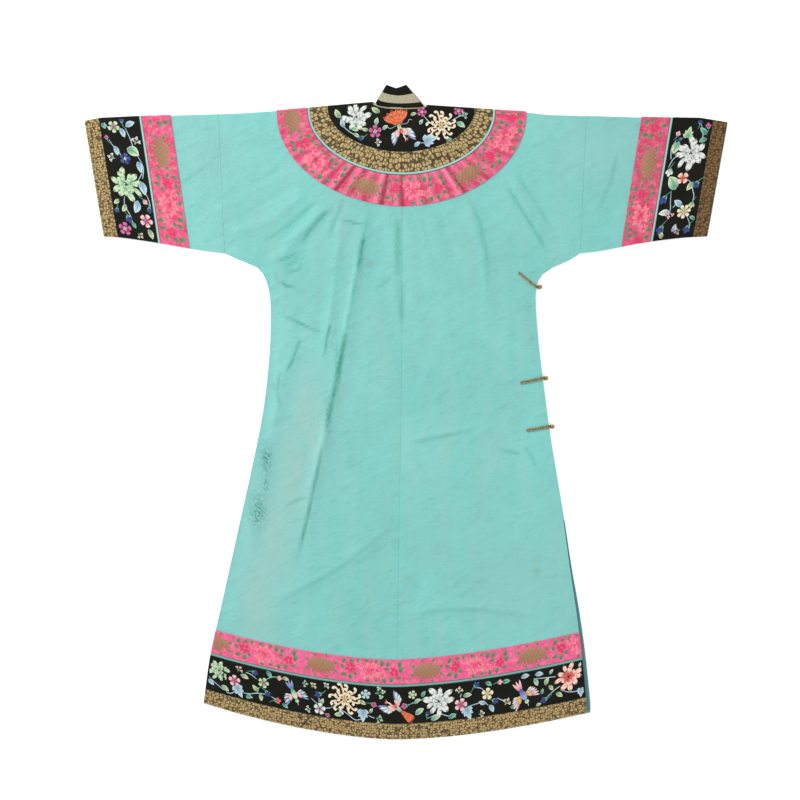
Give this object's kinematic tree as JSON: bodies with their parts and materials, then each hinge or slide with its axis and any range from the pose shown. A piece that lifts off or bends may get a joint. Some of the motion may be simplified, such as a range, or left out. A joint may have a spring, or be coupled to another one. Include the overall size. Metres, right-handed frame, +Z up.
{
  "type": "chinese robe",
  "caption": "Woman's side-closing silk robe with wide sleeves, laid flat on its front, with embroidered and woven bands at neck, cuffs and hem.",
  "frame": {"origin": "middle of the robe's plan, on the surface that it lies on", "axes": "+Z up out of the surface, +Y from the hem to the collar, +X from the wearer's left sleeve to the right one"},
  "size_m": [1.1574, 1.1784, 0.0132],
  "materials": {
    "silk": "turquoise silk with a fine damask rib, soft sheen, faded and creased in places",
    "lining": "plain dark teal silk lining",
    "pink_ribbon": "bright pink woven ribbon with flowers, leaves and brown medallions",
    "black_satin": "black satin with satin-stitch embroidery",
    "gold_brocade": "gold brocade with a dark network ground",
    "piping": "pale aqua silk piping",
    "collar_trim": "cream and gold woven ribbon and tan piping",
    "cord": "dark olive cord bound with gold thread",
    "brass": "aged cast brass"
  },
  "bodies": {
    "root": {"body_left": "silk", "body_right": "silk", "front_overlap": "silk", "sleeve_left": "silk", "sleeve_right": "silk", "front_lining": "lining", "hem_back_pink": "pink_ribbon", "hem_front_pink": "pink_ribbon", "cuff_left_pink": "pink_ribbon", "cuff_right_pink": "pink_ribbon", "yoke_pink": "pink_ribbon", "hem_back_black": "black_satin", "hem_front_black": "black_satin", "cuff_left_black": "black_satin", "cuff_right_black": "black_satin", "yoke_black": "black_satin", "collar": "black_satin", "hem_back_gold": "gold_brocade", "hem_front_gold": "gold_brocade", "cuff_left_gold": "gold_brocade", "cuff_right_gold": "gold_brocade", "yoke_gold": "gold_brocade", "hem_back_piping": "piping", "hem_front_piping": "piping", "cuff_left_piping": "piping", "cuff_right_piping": "piping", "yoke_piping": "piping", "collar_ribbon": "collar_trim", "collar_piping": "collar_trim", "closure_1_loop": "cord", "closure_1_stay": "cord", "closure_2_loop": "cord", "closure_2_stay": "cord", "closure_3_loop": "cord", "closure_3_stay": "cord", "closure_1_ball": "brass", "closure_2_ball": "brass", "closure_3_ball": "brass"}
  },
  "joints": []
}
